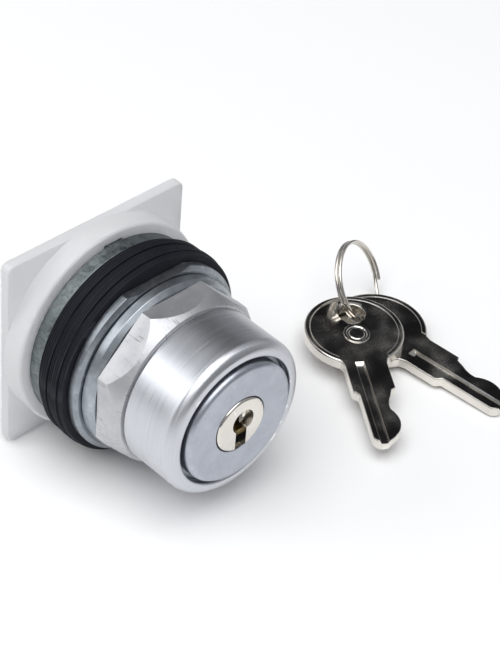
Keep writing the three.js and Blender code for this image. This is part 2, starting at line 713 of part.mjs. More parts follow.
const ball = new THREE.SphereGeometry(DETENT_BALL_R, 12, 8);
const detentSpringFront = BALL_Y + DETENT_BALL_R + DETENT_SPRING_WIRE + 0.07;
const detentSpringLength = DETENT_BORE_REAR - 0.2 - detentSpringFront;
const detentSpring = coilSpring(DETENT_SPRING_R, DETENT_SPRING_WIRE, detentSpringLength, 5, 8, 6);
place('detent_ball', ball, 'steel').position.set(0, BALL_Y, DETENT_Z);
place('detent_spring', detentSpring, 'steel').position.set(0, detentSpringFront, DETENT_Z);

// ---------- keys and split ring ----------
// Outline of a key lying flat: u runs from the bow to the tip, v to the side of the cuts.
function keyOutline() {
  const bladeLeft = KEY_LEFT_V + 1.2;
  const valley = KEY_RIGHT_V - 2.45;
  const shape = new THREE.Shape();
  const rightNeck = Math.asin(KEY_RIGHT_V / KEY_BOW_R);
  const leftNeck = Math.asin(KEY_LEFT_V / KEY_BOW_R);
  shape.absarc(0, 0, KEY_BOW_R, rightNeck, leftNeck + 2 * Math.PI);
  shape.lineTo(KEY_STOP_U + 0.8, KEY_LEFT_V);
  shape.lineTo(KEY_STOP_U + 1.7, bladeLeft);
  shape.lineTo(KEY_TIP_U - 1.5, bladeLeft);
  shape.lineTo(KEY_TIP_U - 0.4, bladeLeft + 0.8);
  shape.lineTo(KEY_TIP_U, bladeLeft + 2);
  shape.lineTo(KEY_TIP_U - 0.1, bladeLeft + 3.1);
  shape.lineTo(KEY_TIP_U - 1.2, valley - 0.9);
  shape.lineTo(KEY_TIP_U - 2.6, valley + 0.3);
  shape.quadraticCurveTo(KEY_TIP_U - 6.2, valley + 2.25, KEY_STOP_U + 6.3, valley);
  shape.lineTo(KEY_STOP_U + 5.1, valley);
  shape.lineTo(KEY_STOP_U + 3.7, valley + 0.35);
  shape.lineTo(KEY_STOP_U + 2.5, valley + 0.9);
  shape.lineTo(KEY_STOP_U + 0.8, KEY_RIGHT_V - 1);
  shape.lineTo(KEY_STOP_U + 0.3, KEY_RIGHT_V);
  const hole = new THREE.Path();
  hole.absarc(KEY_HOLE_U, KEY_HOLE_V, KEY_HOLE_R, 0, 2 * Math.PI, true);
  shape.holes.push(hole);
  return shape;
}

// Stamped key with a milled groove on each side and a plain round badge on its bow.
function key() {
  const blank = new THREE.ExtrudeGeometry(keyOutline(), {
    depth: KEY_THICK, bevelEnabled: false, curveSegments: 20,
  });
  const along = [KEY_GROOVE_START, KEY_TIP_U + 1];
  const [upper, lower] = KEY_GROOVE_V.map((v) => [v - KEY_GROOVE_WIDTH / 2, v + KEY_GROOVE_WIDTH / 2]);
  const upperGroove = block(along, upper, [KEY_THICK - KEY_GROOVE_DEPTH, KEY_THICK + 1]);
  const lowerGroove = block(along, lower, [-1, KEY_GROOVE_DEPTH]);
  const badgeRoot = KEY_THICK / 2;
  const badgeTop = KEY_THICK + KEY_BADGE_RISE;
  const badge = new THREE.CylinderGeometry(KEY_BADGE_R, KEY_BADGE_R, badgeTop - badgeRoot, SMALL_ROUND)
    .rotateX(Math.PI / 2)
    .translate(KEY_BADGE_U, KEY_BADGE_V, (badgeRoot + badgeTop) / 2);
  return cut(join(blank, badge), upperGroove, lowerGroove);
}

// The keys lie on each other in one plane, propped up at the bows by the ring under them.
const keyPlane = new THREE.Group();
keyPlane.position.set(0, KEY_TIP_Y, TABLE + KEY_LAY);
keyPlane.rotation.x = THREE.MathUtils.degToRad(KEY_TILT);
model.add(keyPlane);

const keyLevel = KEY_THICK + KEY_BADGE_RISE + 2 * KEY_LAY;
for (const { name, x, y, level, heading } of [KEY_1, KEY_2]) {
  const mesh = place(name, key(), 'nickel', keyPlane);
  mesh.position.set(x, y, level * keyLevel);
  mesh.rotation.z = THREE.MathUtils.degToRad(heading);
}

// Two turns side by side, joined by a short step across the wire's width.
class SplitRingPath extends THREE.Curve {
  getPoint(t, target = new THREE.Vector3()) {
    const turn = t * RING_TURNS;
    const middle = RING_TURNS / 2;
    const side = THREE.MathUtils.smoothstep(turn, middle - RING_STEP, middle + RING_STEP) - 0.5;
    const angle = 2 * Math.PI * turn + THREE.MathUtils.degToRad(RING_START);
    return target.set(RING_R * Math.cos(angle), side * (RING_WIRE + 0.06), RING_R * Math.sin(angle));
  }
}

const ringGroup = new THREE.Group();
ringGroup.position.set(...RING_PLACE);
ringGroup.rotation.set(THREE.MathUtils.degToRad(RING_LEAN), 0, THREE.MathUtils.degToRad(RING_SWING), 'ZYX');
model.add(ringGroup);
place('split_ring', wire(new SplitRingPath(), RING_WIRE / 2, 50, 8), 'nickel', ringGroup);

export default model;
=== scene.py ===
"""Looks for a key-operated selector switch and its two keys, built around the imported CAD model.

Shapes are made in millimetres and scaled to metres when they become a mesh.
The operator's axis is Y and its front faces -Y. A turned outline is a list of (radius, y) points.
"""

import math

import bmesh
import bpy
from mathutils import Matrix, Vector


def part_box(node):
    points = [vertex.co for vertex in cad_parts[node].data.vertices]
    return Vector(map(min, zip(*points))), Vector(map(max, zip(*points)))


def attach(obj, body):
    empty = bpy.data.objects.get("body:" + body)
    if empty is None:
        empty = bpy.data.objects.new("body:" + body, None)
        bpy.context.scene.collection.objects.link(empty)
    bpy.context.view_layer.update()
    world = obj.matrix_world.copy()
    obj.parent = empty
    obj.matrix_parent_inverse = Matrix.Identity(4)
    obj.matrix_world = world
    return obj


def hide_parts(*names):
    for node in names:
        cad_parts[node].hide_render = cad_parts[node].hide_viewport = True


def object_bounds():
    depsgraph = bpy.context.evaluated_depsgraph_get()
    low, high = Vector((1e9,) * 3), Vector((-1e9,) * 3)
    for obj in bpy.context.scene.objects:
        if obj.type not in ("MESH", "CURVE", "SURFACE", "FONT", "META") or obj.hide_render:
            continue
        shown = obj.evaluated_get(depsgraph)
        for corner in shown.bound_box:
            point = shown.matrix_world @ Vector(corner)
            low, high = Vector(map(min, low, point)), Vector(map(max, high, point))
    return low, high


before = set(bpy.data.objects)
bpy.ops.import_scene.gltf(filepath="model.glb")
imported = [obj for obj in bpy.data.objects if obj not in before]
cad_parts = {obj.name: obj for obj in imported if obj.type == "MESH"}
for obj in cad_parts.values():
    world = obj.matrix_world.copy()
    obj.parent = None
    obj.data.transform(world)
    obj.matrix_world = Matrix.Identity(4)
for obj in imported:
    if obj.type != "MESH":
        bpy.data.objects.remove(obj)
cad_low, cad_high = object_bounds()

MM = 0.001
FINEST = 256  # segments round the sleeve and the face disc
FINE = 192  # round other large turned pieces
MEDIUM = 96
SMALL = 48
SHARP_ANGLE = math.radians(38)


# ---------- sizes, read from the frame ----------
def limits(node):
    """Lowest and highest corner of a CAD node, in millimetres."""
    low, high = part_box(node)
    return low / MM, high / MM


def turned_size(node):
    """Outer radius, front and rear of a turned CAD node, in millimetres."""
    low, high = limits(node)
    return (high.x - low.x) / 2, low.y, high.y


# ---------- outlines ----------
def rounded(corners, steps=6):
    """Points of an outline whose corners are (across, along, rounding)."""
    points = []
    for index, (across, along, rounding) in enumerate(corners):
        here = Vector((across, along))
        if rounding == 0:
            points.append(here)
            continue
        back = (Vector(corners[index - 1][:2]) - here).normalized()
        on = (Vector(corners[(index + 1) % len(corners)][:2]) - here).normalized()
        half = back.angle(on) / 2
        centre = here + (back + on).normalized() * rounding / math.sin(half)
        start = here + back * rounding / math.tan(half) - centre
        end = here + on * rounding / math.tan(half) - centre
        sweep = start.angle_signed(end)
        for step in range(steps + 1):
            points.append(centre + Matrix.Rotation(-sweep * step / steps, 2) @ start)
    return [(point.x, point.y) for point in points]


def arc_points(centre, radius, start, end, steps):
    """Points on an arc from one angle to another, in degrees."""
    angles = [math.radians(start + (end - start) * step / steps) for step in range(steps + 1)]
    return [(centre[0] + radius * math.cos(angle), centre[1] + radius * math.sin(angle)) for angle in angles]


# ---------- making meshes ----------
def build(name, points, faces):
    """A smooth-shaded object from points in millimetres, with its faces turned outwards."""
    mesh = bpy.data.meshes.new(name)
    mesh.from_pydata([Vector(point) * MM for point in points], [], faces)
    solid = bmesh.new()
    solid.from_mesh(mesh)
    bmesh.ops.recalc_face_normals(solid, faces=solid.faces)
    solid.to_mesh(mesh)
    solid.free()
    piece = bpy.data.objects.new(name, mesh)
    bpy.context.scene.collection.objects.link(piece)
    return piece


def turned(name, outline, segments=FINE, warp=None):
    """A body turned about Y from a closed outline of (radius, y) points. warp may shift a point."""
    points, rings, faces = [], [], []
    for radius, y in outline:
        count = 1 if radius < 1e-6 else segments
        rings.append([len(points) + step for step in range(count)])
        for step in range(count):
            angle = 2 * math.pi * step / segments
            r, at = (radius, y) if warp is None else warp(radius, y, angle)
            points.append((r * math.cos(angle), at, r * math.sin(angle)))
    for ring, after in zip(rings, rings[1:] + rings[:1]):
        if len(ring) == 1 and len(after) == 1:
            continue
        for step in range(segments):
            turn = (step + 1) % segments
            if len(ring) == 1:
                faces.append((ring[0], after[turn], after[step]))
            elif len(after) == 1:
                faces.append((ring[step], ring[turn], after[0]))
            else:
                faces.append((ring[step], ring[turn], after[turn], after[step]))
    return build(name, points, faces)


def round_bar(name, radius, front, rear, segments=FINE):
    """A plain round bar along Y."""
    return turned(name, [(0, front), (radius, front), (radius, rear), (0, rear)], segments)


def block(name, x, y, z):
    """A block that starts and ends at the given places along X, Y and Z."""
    corners = [(a, b, c) for a in x for b in y for c in z]
    sides = [(0, 1, 3, 2), (4, 6, 7, 5), (0, 4, 5, 1), (2, 3, 7, 6), (0, 2, 6, 4), (1, 5, 7, 3)]
    return build(name, corners, sides)


def prism(name, outline, front, rear):
    """A bar along Y whose section is a closed outline of (x, z) points."""
    count = len(outline)
    points = [(x, front, z) for x, z in outline] + [(x, rear, z) for x, z in outline]
    faces = [tuple(range(count)), tuple(range(count, 2 * count))]
    faces += [(i, (i + 1) % count, count + (i + 1) % count, count + i) for i in range(count)]
    return build(name, points, faces)


def with_modifier(piece, kind, **settings):
    """Adds a modifier to a piece and applies it."""
    modifier = piece.modifiers.new(kind, kind)
    for key, value in settings.items():
        setattr(modifier, key, value)
    bpy.context.view_layer.update()
    shape = bpy.data.meshes.new_from_object(piece.evaluated_get(bpy.context.evaluated_depsgraph_get()))
    piece.modifiers.clear()
    piece.data = shape
    return piece


def combine(piece, tools, operation="DIFFERENCE"):
    """Cuts tools out of a piece, or joins them to it, and removes them."""
    for tool in tools:
        with_modifier(piece, "BOOLEAN", object=tool, operation=operation, solver="EXACT")
        bpy.data.objects.remove(tool)
    solid = bmesh.new()
    solid.from_mesh(piece.data)
    bmesh.ops.remove_doubles(solid, verts=solid.verts, dist=0.002 * MM)
    solid.to_mesh(piece.data)
    solid.free()


def soften(piece, width, segments=3, angle=24):
    """Rounds the edges of a piece that are sharper than an angle."""
    return with_modifier(
        piece, "BEVEL", width=width * MM, segments=segments, limit_method="ANGLE",
        angle_limit=math.radians(angle), use_clamp_overlap=True, miter_outer="MITER_ARC",
    )


def finish_piece(piece, material, body, slot, *nodes):
    """Shades a piece, gives it its material, and ties it to the frame."""
    piece.data.shade_smooth()
    piece.data.set_sharp_from_angle(angle=SHARP_ANGLE)
    with_modifier(piece, "WEIGHTED_NORMAL", keep_sharp=True)
    piece.data.materials.clear()
    piece.data.materials.append(material)
    for face in piece.data.polygons:
        face.material_index = 0
    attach(piece, body)
    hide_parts(*nodes)


# ---------- materials ----------
class Finish:
    """A Principled material, with short ways to add nodes to it."""

    def __init__(self, name, **constants):
        self.material = bpy.data.materials.new(name)
        self.material.use_nodes = True
        self.tree = self.material.node_tree
        self.shader = self.tree.nodes["Principled BSDF"]
        for socket, value in constants.items():
            self.shader.inputs[socket.replace("_", " ")].default_value = value
        coordinates = self.add("TexCoord").outputs["Object"]
        self.place = self.add("VectorMath", [coordinates, (1 / MM,) * 3], operation="MULTIPLY").outputs[0]

    def add(self, kind, values=(), **settings):
        """A node with its settings, and its inputs filled in order. None leaves an input as it is."""
        node = self.tree.nodes.new("ShaderNode" + kind)
        for key, value in settings.items():
            setattr(node, key, value)
        for socket, value in zip(node.inputs, values):
            self.feed(socket, value)
        return node

    def feed(self, socket, value):
        if value is None:
            return
        if isinstance(value, bpy.types.NodeSocket):
            self.tree.links.new(value, socket)
        else:
            socket.default_value = value

    def set(self, socket, value):
        self.feed(self.shader.inputs[socket], value)

    def math(self, operation, *values):
        return self.add("Math", values, operation=operation).outputs[0]

    def spread(self, value, low, high, to_low=0.0, to_high=1.0):
        """Maps a value from one range to another, held at its ends."""
        return self.add("MapRange", [value, low, high, to_low, to_high]).outputs[0]

    def noise(self, scale, detail=3.0, vector=None):
        node = self.add("TexNoise")
        self.feed(node.inputs["Vector"], vector or self.place)
        node.inputs["Scale"].default_value = scale
        node.inputs["Detail"].default_value = detail
        return node.outputs["Fac"]

    def blend(self, factor, low, high):
        """A colour between two, by a factor from 0 to 1."""
        node = self.add("Mix", data_type="RGBA")
        self.feed(node.inputs["Factor"], factor)
        self.feed(node.inputs[6], low if isinstance(low, bpy.types.NodeSocket) else (*low, 1))
        self.feed(node.inputs[7], high if isinstance(high, bpy.types.NodeSocket) else (*high, 1))
        return node.outputs[2]

    def round_axis(self, around, along):
        """Coordinates for a texture that runs round the operator's axis."""
        parts = self.add("SeparateXYZ", [self.place]).outputs
        radius = self.math("SQRT", self.math("ADD", self.math("POWER", parts[0], 2.0),
                                             self.math("POWER", parts[2], 2.0)))
        x = self.math("MULTIPLY", self.math("DIVIDE", parts[0], radius), around)
        z = self.math("MULTIPLY", self.math("DIVIDE", parts[2], radius), around)
        depth = self.math("MULTIPLY", self.math("ADD", parts[1], radius), along)
        return self.add("CombineXYZ", [x, z, depth]).outputs[0]

    def edges(self, low=0.52, high=0.6):
        """1 on convex edges and 0 elsewhere, for wear."""
        return self.spread(self.add("NewGeometry").outputs["Pointiness"], low, high)

    def bump(self, height, strength, distance=0.05):
        node = self.add("Bump")
        node.inputs["Strength"].default_value = strength
        node.inputs["Distance"].default_value = distance * MM
        self.feed(node.inputs["Height"], height)
        self.set("Normal", node.outputs[0])


def frosted_nylon():
    """Pale translucent nylon with a fine moulded grain and slightly whitened edges."""
    f = Finish("frosted_nylon", Transmission_Weight=0.35, IOR=1.45, Specular_IOR_Level=0.4,
               Subsurface_Weight=0.4, Subsurface_Scale=5 * MM, Subsurface_Radius=(1, 1, 1))
    cloud = f.noise(0.16, 4)
    colour = f.blend(cloud, (0.90, 0.91, 0.93), (0.95, 0.955, 0.965))
    f.set("Base Color", f.blend(f.edges(), colour, (0.95, 0.95, 0.95)))
    f.set("Roughness", f.spread(f.noise(0.5, 5), 0.3, 0.7, 0.42, 0.58))
    f.bump(f.noise(5, 3), 0.25, 0.03)
    return f.material


def galvanised_steel():
    """Zinc coat with its spangle, dull and mottled."""
    f = Finish("galvanised_steel", Metallic=1.0)
    spangle = f.add("TexVoronoi", feature="F1")
    spangle.inputs["Scale"].default_value = 0.9
    f.feed(spangle.inputs["Vector"], f.place)
    cells = f.add("SeparateColor", [spangle.outputs["Color"]]).outputs[0]
    mottle = f.math("ADD", f.math("MULTIPLY", cells, 0.35), f.math("MULTIPLY", f.noise(1.6, 6), 0.75))
    colour = f.blend(f.spread(mottle, 0.3, 0.8), (0.11, 0.13, 0.135), (0.25, 0.28, 0.285))
    f.set("Base Color", f.blend(f.edges(), colour, (0.42, 0.44, 0.44)))
    f.set("Roughness", f.spread(mottle, 0.25, 0.85, 0.34, 0.58))
    f.bump(mottle, 0.35, 0.05)
    return f.material


def black_rubber():
    """Moulded rubber with faint rings left by the tool and a bluish bloom."""
    f = Finish("black_rubber", Specular_IOR_Level=0.2)
    rings = f.noise(1.0, 4, f.round_axis(3.0, 5.0))
    bloom = f.noise(0.35, 5)
    colour = f.blend(bloom, (0.005, 0.006, 0.009), (0.014, 0.016, 0.024))
    f.set("Base Color", f.blend(f.edges(0.51, 0.6), colour, (0.03, 0.032, 0.042)))
    f.set("Roughness", f.spread(rings, 0.3, 0.7, 0.5, 0.72))
    f.bump(rings, 0.8, 0.06)
    return f.material


def grey_zinc(name="grey_zinc", light=(0.36, 0.39, 0.42), dark=(0.26, 0.285, 0.31)):
    """Plated die-cast zinc: satin, with turning marks and rubbed spots."""
    f = Finish(name, Metallic=1.0)
    marks = f.noise(1.0, 3, f.round_axis(2.5, 7.0))
    colour = f.blend(f.spread(f.noise(0.45, 5), 0.3, 0.7), dark, light)
    rubbed = f.math("MULTIPLY", f.spread(f.noise(0.9, 6), 0.6, 0.72), 0.5)
    f.set("Base Color", f.blend(rubbed, colour, (0.55, 0.57, 0.60)))
    f.set("Roughness", f.spread(marks, 0.3, 0.7, 0.3, 0.44))
    f.bump(marks, 0.28, 0.03)
    return f.material


def cast_aluminium():
    """Machined cast nut: fine lines round it, and a few darker scratches along it."""
    f = Finish("cast_aluminium", Metallic=1.0)
    lines = f.noise(1.0, 3, f.round_axis(4.0, 9.0))
    scratches = f.spread(f.noise(1.0, 4, f.round_axis(55.0, 0.35)), 0.6, 0.68)
    cloud = f.spread(f.noise(0.3, 5), 0.3, 0.7)
    patches = f.math("MULTIPLY", scratches, f.spread(f.noise(0.22, 2), 0.46, 0.58))
    colour = f.blend(cloud, (0.49, 0.50, 0.52), (0.59, 0.60, 0.615))
    worn = f.blend(f.edges(), colour, (0.88, 0.88, 0.89))
    f.set("Base Color", f.blend(f.math("MULTIPLY", patches, 0.6), worn, (0.22, 0.22, 0.23)))
    f.set("Roughness", f.spread(f.math("ADD", lines, patches), 0.3, 1.2, 0.46, 0.62))
    f.bump(f.math("SUBTRACT", lines, patches), 0.22, 0.04)
    return f.material


def brushed_aluminium():
    """Sleeve brushed round its axis, so its highlights run along it."""
    f = Finish("brushed_aluminium", Metallic=1.0, Anisotropic=0.72)
    brush = f.noise(1.0, 4, f.round_axis(1.6, 16.0))
    broad = f.noise(1.0, 3, f.round_axis(1.0, 1.6))
    mixed = f.math("ADD", f.math("MULTIPLY", brush, 0.6), f.math("MULTIPLY", broad, 0.4))
    colour = f.blend(f.spread(mixed, 0.35, 0.65), (0.56, 0.58, 0.615), (0.68, 0.695, 0.725))
    f.set("Base Color", f.blend(f.edges(0.54, 0.62), colour, (0.93, 0.93, 0.94)))
    f.set("Roughness", f.spread(mixed, 0.35, 0.65, 0.27, 0.39))
    tangent = f.add("Tangent", direction_type="RADIAL", axis="Y")
    f.set("Tangent", tangent.outputs[0])
    f.bump(brush, 0.2, 0.02)
    return f.material


def satin_grey():
    """Satin grey face of the lock, finely grained, with a few small pits."""
    f = Finish("satin_grey", Metallic=1.0)
    grain = f.noise(7, 3)
    faint = f.noise(1.1, 3)
    pits = f.spread(f.noise(2.6, 2), 0.70, 0.74)
    colour = f.blend(f.spread(f.noise(0.3, 4), 0.3, 0.7), (0.42, 0.445, 0.50), (0.49, 0.515, 0.57))
    rubbed = f.math("MULTIPLY", f.spread(f.noise(0.7, 6), 0.6, 0.72), 0.5)
    worn = f.blend(rubbed, colour, (0.58, 0.60, 0.65))
    f.set("Base Color", f.blend(f.math("MULTIPLY", pits, 0.5), worn, (0.2, 0.21, 0.24)))
    f.set("Roughness", f.spread(f.math("ADD", grain, faint), 0.7, 1.3, 0.33, 0.44))
    f.bump(f.math("SUBTRACT", f.math("ADD", grain, faint), pits), 0.2, 0.03)
    return f.material


def polished_nickel(name="polished_nickel", colour=(0.79, 0.755, 0.70), shine=0.1):
    """Bright warm nickel with smudges and hairline scratches."""
    f = Finish(name, Metallic=1.0)
    smudge = f.noise(0.11, 2)
    stretched = f.add("VectorMath", [f.place, (7.0, 1.2, 3.0)], operation="MULTIPLY").outputs[0]
    hairlines = f.spread(f.noise(2.2, 5, stretched), 0.62, 0.7)
    duller = tuple(part * 0.86 for part in colour)
    tone = f.blend(f.spread(smudge, 0.35, 0.65), duller, colour)
    f.set("Base Color", f.blend(f.edges(0.53, 0.62), tone, (0.90, 0.88, 0.84)))
    f.set("Roughness", f.math("ADD", f.spread(smudge, 0.44, 0.7, shine, shine + 0.18),
                              f.math("MULTIPLY", hairlines, 0.1)))
    f.bump(f.math("SUBTRACT", f.noise(0.3, 2), f.math("MULTIPLY", hairlines, 0.3)), 0.04, 0.05)
    return f.material


def plain_metal(name, light, dark, rough):
    """Small machined or plated part, with turning marks and worn edges."""
    f = Finish(name, Metallic=1.0)
    marks = f.noise(3.0, 4)
    colour = f.blend(f.spread(marks, 0.3, 0.7), dark, light)
    bright = tuple(min(1.0, part * 1.25) for part in light)
    f.set("Base Color", f.blend(f.edges(), colour, bright))
    f.set("Roughness", f.spread(f.noise(1.2, 4), 0.3, 0.7, rough, rough + 0.16))
    f.bump(marks, 0.15, 0.02)
    return f.material


def moulded_nylon(name, light, dark):
    """Opaque moulded nylon with a fine grain."""
    f = Finish(name, Specular_IOR_Level=0.45)
    colour = f.blend(f.noise(0.6, 4), dark, light)
    bright = tuple(min(1.0, part * 1.3 + 0.02) for part in light)
    f.set("Base Color", f.blend(f.edges(), colour, bright))
    f.set("Roughness", f.spread(f.noise(1.5, 4), 0.3, 0.7, 0.42, 0.6))
    f.bump(f.noise(8, 3), 0.2, 0.02)
    return f.material


NYLON = frosted_nylon()
GALVANISED = galvanised_steel()
RUBBER = black_rubber()
GREY_ZINC = grey_zinc()
LIGHT_ZINC = grey_zinc("light_zinc", light=(0.42, 0.45, 0.48), dark=(0.31, 0.34, 0.37))
CAST = cast_aluminium()
BRUSHED = brushed_aluminium()
SATIN = satin_grey()
NICKEL = polished_nickel()
WIRE = polished_nickel("nickel_wire", colour=(0.70, 0.665, 0.61), shine=0.13)
BRASS = plain_metal("brass", (0.72, 0.55, 0.27), (0.58, 0.42, 0.19), 0.26)
STEEL = plain_metal("plated_steel", (0.66, 0.67, 0.69), (0.52, 0.53, 0.55), 0.24)
BLACK_NYLON = moulded_nylon("black_nylon", (0.035, 0.036, 0.04), (0.018, 0.018, 0.021))
WHITE_NYLON = moulded_nylon("white_nylon", (0.80, 0.79, 0.74), (0.70, 0.69, 0.64))

# ---------- base plate, ring and gaskets ----------
OPERATOR = "operator"
SCREW_NODES = [f"base_screw_{i + 1}" for i in range(4)]
GASKET_NODES = [f"gasket_{i + 1}" for i in range(5)]
WAFER_NODES = [f"wafer_{i + 1}" for i in range(5)]
PAST = 1  # how far a cutter runs beyond the piece it cuts
BARREL_CLEARANCE_R = 15.3  # bore of everything that slides over the barrel
BORE_EDGE = 0.1
RIM_EDGE = 0.15

PLATE_SIDE = 44.5
PLATE_THICK = 2.3
PLATE_EDGE = 0.25
PLATE_CORNER = 1.4
COLLAR_EDGE = 0.7
COLLAR_OVERLAP = 0.2  # how far the collar runs into the plate
SEAT_CLEARANCE = 0.3  # round the barrel's flange
CHAMBER_R = 12.6  # the barrel's rear chamber and the plate's opening behind it
SCREW_HOLE_R = 1.4
SCREW_HEAD_R = 2.6
SCREW_HEAD_DEPTH = 1.5

LOCATING_RING_REAR = 3.1
TAB_X = (-2.1, 2.1)
TAB_Z = (19.8, 20.8)
TAB_OVERLAP = 0.3  # how far the tab runs into the ring
TAB_SLOT_X = (-2.4, 2.4)
TAB_SLOT_Z = (18.8, 20.95)
TAB_SLOT_REAR = 6.8

GASKET_RIDGES = 3
GASKET_SHOULDER = 0.45  # from the flat faces' edge out to the ridges
GASKET_VALLEY = 0.2  # depth between two ridges
GASKET_SAG = 0.07  # how far the rim is from round


def screw_places():
    return [(limits(node)[0] + limits(node)[1]) / 2 for node in SCREW_NODES]


def flat_outline_mesh(name, splines, thickness, edge):
    """A plate in the XY plane with round edges, from closed outlines; the second one on are holes."""
    curve = bpy.data.curves.new(name, "CURVE")
    curve.dimensions = "2D"
    curve.fill_mode = "BOTH"
    curve.extrude = (thickness / 2 - edge) * MM
    curve.bevel_depth = edge * MM
    curve.bevel_resolution = 3
    curve.offset = -edge * MM
    for outline in splines:
        spline = curve.splines.new("POLY")
        spline.points.add(len(outline) - 1)
        for point, (x, y) in zip(spline.points, outline):
            point.co = (x * MM, y * MM, 0, 1)
        spline.use_cyclic_u = True
    holder = bpy.data.objects.new(name, curve)
    bpy.context.scene.collection.objects.link(holder)
    bpy.context.view_layer.update()
    mesh = bpy.data.meshes.new_from_object(holder.evaluated_get(bpy.context.evaluated_depsgraph_get()))
    bpy.data.objects.remove(holder)
    solid = bmesh.new()
    solid.from_mesh(mesh)
    bmesh.ops.remove_doubles(solid, verts=solid.verts, dist=0.003 * MM)
    bmesh.ops.recalc_face_normals(solid, faces=solid.faces)
    solid.to_mesh(mesh)
    solid.free()
    piece = bpy.data.objects.new(name, mesh)
    bpy.context.scene.collection.objects.link(piece)
    return piece


def base_plate():
    """Square plate and round collar, with the flange's seat, the tab's slot and the screws' holes."""
    low, high = limits("base_plate")
    flange_r, _, flange_rear = turned_size("threaded_barrel")
    rear = high.y
    front = rear - PLATE_THICK
    half = PLATE_SIDE / 2
    square = rounded([(half, half, PLATE_CORNER), (-half, half, PLATE_CORNER),
                      (-half, -half, PLATE_CORNER), (half, -half, PLATE_CORNER)], 8)
    plate = flat_outline_mesh("frosted_base_plate", [square], rear - front, PLATE_EDGE)
    middle = Matrix.Translation((0, (front + rear) / 2 * MM, 0))
    plate.data.transform(middle @ Matrix.Rotation(math.pi / 2, 4, "X"))
    collar_r = high.x
    joint = front + COLLAR_OVERLAP
    collar = turned("collar", rounded([
        (0, low.y, 0), (collar_r, low.y, COLLAR_EDGE), (collar_r, joint, 0), (0, joint, 0)], 5))
    combine(plate, [collar], "UNION")
    seat = round_bar("seat", flange_r + SEAT_CLEARANCE, low.y - PAST, flange_rear + SEAT_CLEARANCE)
    opening = round_bar("opening", CHAMBER_R, flange_rear, rear + PAST)
    tab_slot = block("tab_slot", TAB_SLOT_X, (low.y - PAST, TAB_SLOT_REAR), TAB_SLOT_Z)
    head = rear - SCREW_HEAD_DEPTH
    profile = rounded([(0, flange_rear, 0), (SCREW_HOLE_R, flange_rear, 0), (SCREW_HOLE_R, head, 0),
                       (SCREW_HEAD_R, head, 0), (SCREW_HEAD_R, rear + PAST, 0), (0, rear + PAST, 0)])
    holes = []
    for index, place in enumerate(screw_places()):
        hole = turned(f"hole_{index}", profile, SMALL)
        hole.data.transform(Matrix.Translation((place.x * MM, 0, place.z * MM)))
        holes.append(hole)
    combine(plate, [seat, opening, tab_slot, *holes])
    finish_piece(plate, NYLON, OPERATOR, "frosted_plastic", "base_plate")


def locating_ring():
    """Galvanised ring with the tab that keeps the operator from turning."""
    _, high = limits("locating_ring")
    radius, front, _ = turned_size("locating_ring")
    rear = LOCATING_RING_REAR
    outline = rounded([(BARREL_CLEARANCE_R, front, BORE_EDGE), (radius, front, RIM_EDGE),
                       (radius, rear, RIM_EDGE), (BARREL_CLEARANCE_R, rear, BORE_EDGE)], 4)
    ring = turned("galvanised_ring", outline)
    tab = soften(block("tab", TAB_X, (rear - TAB_OVERLAP, high.y), TAB_Z), RIM_EDGE)
    combine(ring, [tab], "UNION")
    finish_piece(ring, GALVANISED, OPERATOR, "galvanised", "locating_ring")


def gasket(index, node):
    """A soft ring whose rim isn't quite round, with moulded ridges round it."""
    radius, front, rear = turned_size(node)
    shoulder, valley = radius - GASKET_SHOULDER, radius - GASKET_VALLEY
    share = (rear - front) / GASKET_RIDGES
    rim = []
    for ridge in range(GASKET_RIDGES):
        start = front + ridge * share
        end = start + share
        rim += [(valley, start + 0.04, 0.03), (radius, start + 0.18, 0.1),
                (radius, end - 0.18, 0.1), (valley, end - 0.04, 0.03)]
    outline = rounded([(BARREL_CLEARANCE_R, front, BORE_EDGE), (shoulder, front, BORE_EDGE), *rim,
                       (shoulder, rear, BORE_EDGE), (BARREL_CLEARANCE_R, rear, BORE_EDGE)], 3)

    def warp(r, y, angle):
        if r < radius - 1:
            return r, y
        sag = math.sin(2 * angle + index) + 0.6 * math.sin(5 * angle + 2 * index) + 0.3 * math.sin(11 * angle)
        return r - GASKET_SAG * (1.9 - sag) / 2, y

    piece = turned(f"rubber_{node}", outline, FINE, warp)
    finish_piece(piece, RUBBER, OPERATOR, "rubber", node)


# ---------- washer, lock ring and nut ----------
WASHER_FRONT_R = 19.9
WASHER_SLOPE = 0.55  # how far the rim starts behind the front
LOCK_RING_FRONT_R = 18.5
LOCK_RING_SLOPE = 1
NUT_FRONT_R = 17.6  # where the nut's coned front starts
NUT_CONE_REAR = -15.35  # where the cone meets the corners
NUT_CONE_SPARE = 0.3  # how much wider the cone ends than the corners


def thrust_washer():
    """Round washer with a sloped front edge and a flat at the top and the bottom."""
    low, high = limits("thrust_washer")
    radius, front, rear = turned_size("thrust_washer")
    outline = rounded([
        (BARREL_CLEARANCE_R, front, BORE_EDGE), (WASHER_FRONT_R, front, 0.2),
        (radius, front + WASHER_SLOPE, RIM_EDGE), (radius, rear, RIM_EDGE),
        (BARREL_CLEARANCE_R, rear, BORE_EDGE)], 4)
    washer = turned("flatted_washer", outline)
    slab = block("slab", (-radius - PAST, radius + PAST), (front - PAST, rear + PAST), (low.z, high.z))
    combine(washer, [slab], "INTERSECT")
    soften(washer, 0.1, 2, 20)
    finish_piece(washer, GREY_ZINC, OPERATOR, "washer_grey", "thrust_washer")


